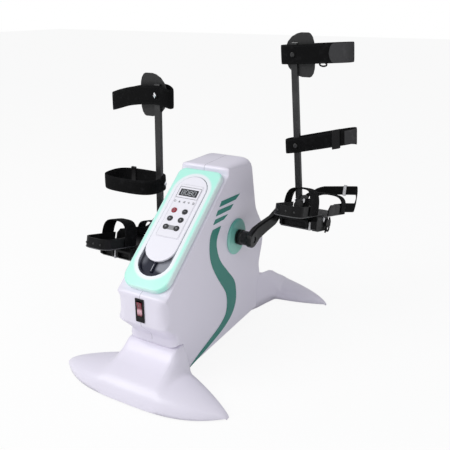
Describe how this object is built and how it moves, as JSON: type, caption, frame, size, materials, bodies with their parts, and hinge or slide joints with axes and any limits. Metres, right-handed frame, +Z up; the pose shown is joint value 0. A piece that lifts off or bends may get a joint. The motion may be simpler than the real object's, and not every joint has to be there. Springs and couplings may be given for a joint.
{
  "type": "motorized exercise bike",
  "caption": "Motorized exercise bike for the legs: narrow housing on wide feet, sloping console, driven crank, foot trays with straps and shank rods with calf bands.",
  "frame": {"origin": "centre of the bounding box in plan, on the floor", "axes": "+X to the right of the seated person, +Y away from that person towards the toes, +Z up"},
  "size_m": [0.569, 0.7382, 0.7262],
  "materials": {
    "white_plastic": "smooth, softly glossy moulding",
    "mint_plastic": "smooth, softly glossy moulding",
    "disc_plastic": "smooth satin moulding",
    "stripe_film": "satin printed film",
    "recess_plastic": "smooth dark moulding",
    "label_film": "satin printed film",
    "window_plastic": "clear glossy lens over a dark display",
    "red_plastic": "glossy key cap",
    "button_plastic": "satin key cap",
    "black_plastic": "fine-grained moulding",
    "black_steel": "satin black enamel",
    "frame_steel": "black enamel over welded tube",
    "bright_steel": "bright plated steel",
    "rubber": "dull black rubber",
    "webbing": "woven black webbing",
    "motor_steel": "plated steel can",
    "board": "green lacquered circuit board"
  },
  "bodies": {
    "base": {"frame": "frame_steel", "front_foot_cover": "white_plastic", "rear_foot_cover": "white_plastic", "foot_pad_front_left": "rubber", "foot_pad_front_right": "rubber", "foot_pad_rear_left": "rubber", "foot_pad_rear_right": "rubber", "housing_left": "white_plastic", "housing_right": "white_plastic", "console_bezel": "mint_plastic", "console_faceplate": "white_plastic", "console_recess": "recess_plastic", "display_window": "window_plastic", "control_label": "label_film", "rocker_frame": "black_plastic", "hub_disc_left": "disc_plastic", "hub_disc_right": "disc_plastic", "side_stripe_left": "stripe_film", "side_stripe_right": "stripe_film", "bearing_left": "bright_steel", "bearing_right": "bright_steel", "drive_belt": "rubber", "motor": "motor_steel", "control_board": "board", "power_inlet": "black_plastic"},
    "crank": {"crank_spindle": "bright_steel", "crank_left": "black_steel", "crank_right": "black_steel", "drive_pulley": "black_plastic", "pedal_spindle_left": "bright_steel", "pedal_spindle_right": "bright_steel"},
    "foot_right": {"pedal_body_right": "black_plastic", "foot_tray_right": "black_plastic", "ankle_strap_right": "webbing", "instep_strap_right": "webbing", "toe_band_right": "webbing", "pivot_bolt_right": "bright_steel"},
    "shank_right": {"shank_rod_right": "black_steel", "calf_plate_right": "black_plastic", "upper_calf_band_right": "webbing", "lower_calf_band_right": "webbing"},
    "foot_left": {"pedal_body_left": "black_plastic", "foot_tray_left": "black_plastic", "ankle_strap_left": "webbing", "instep_strap_left": "webbing", "toe_band_left": "webbing", "pivot_bolt_left": "bright_steel"},
    "shank_left": {"shank_rod_left": "black_steel", "calf_plate_left": "black_plastic", "upper_calf_band_left": "webbing", "lower_calf_band_left": "webbing"},
    "motor_shaft": {"motor_pulley": "black_plastic"},
    "button_power": {"button_power": "red_plastic"},
    "button_mode": {"button_mode": "button_plastic"},
    "button_time_up": {"button_time_up": "button_plastic"},
    "button_speed_up": {"button_speed_up": "button_plastic"},
    "button_time_down": {"button_time_down": "button_plastic"},
    "button_speed_down": {"button_speed_down": "button_plastic"},
    "rocker": {"power_rocker": "red_plastic"}
  },
  "joints": [
    {"name": "crank_spin", "type": "hinge", "parent": "base", "child": "crank", "pos_m": [0, 0.00186, 0.265], "axis": [1, 0, 0], "continuous": true},
    {"name": "foot_right_level", "type": "hinge", "parent": "crank", "child": "foot_right", "pos_m": [0.1975, 0.09832, 0.30896], "axis": [1, 0, 0], "continuous": true},
    {"name": "foot_left_level", "type": "hinge", "parent": "crank", "child": "foot_left", "pos_m": [-0.1975, -0.0946, 0.22104], "axis": [1, 0, 0], "continuous": true},
    {"name": "shank_right_tilt", "type": "hinge", "parent": "foot_right", "child": "shank_right", "pos_m": [0.1482, 0.18223, 0.31895], "axis": [1, 0, 0], "range_deg": [-20, 15]},
    {"name": "shank_left_tilt", "type": "hinge", "parent": "foot_left", "child": "shank_left", "pos_m": [-0.1482, -0.01069, 0.23104], "axis": [1, 0, 0], "range_deg": [-20, 15]},
    {"name": "motor_spin", "type": "hinge", "parent": "base", "child": "motor_shaft", "pos_m": [0, -0.11814, 0.102], "axis": [1, 0, 0], "continuous": true},
    {"name": "rocker_tip", "type": "hinge", "parent": "base", "child": "rocker", "pos_m": [0, -0.29314, 0.193], "axis": [1, 0, 0], "range_deg": [-6, 0]},
    {"name": "press_power", "type": "slide", "parent": "base", "child": "button_power", "axis": [0, 0.6184, -0.7859], "range_m": [0, 0.0012], "stiffness_N_per_m": 400},
    {"name": "press_mode", "type": "slide", "parent": "base", "child": "button_mode", "axis": [0, 0.6184, -0.7859], "range_m": [0, 0.0012], "stiffness_N_per_m": 400},
    {"name": "press_time_up", "type": "slide", "parent": "base", "child": "button_time_up", "axis": [0, 0.6184, -0.7859], "range_m": [0, 0.0012], "stiffness_N_per_m": 400},
    {"name": "press_speed_up", "type": "slide", "parent": "base", "child": "button_speed_up", "axis": [0, 0.6184, -0.7859], "range_m": [0, 0.0012], "stiffness_N_per_m": 400},
    {"name": "press_time_down", "type": "slide", "parent": "base", "child": "button_time_down", "axis": [0, 0.6184, -0.7859], "range_m": [0, 0.0012], "stiffness_N_per_m": 400},
    {"name": "press_speed_down", "type": "slide", "parent": "base", "child": "button_speed_down", "axis": [0, 0.6184, -0.7859], "range_m": [0, 0.0012], "stiffness_N_per_m": 400}
  ],
  "couplings": [
    {"joint": "foot_right_level", "follows": "crank_spin", "ratio": -1},
    {"joint": "foot_left_level", "follows": "crank_spin", "ratio": -1},
    {"joint": "motor_spin", "follows": "crank_spin", "ratio": 3.9286}
  ]
}
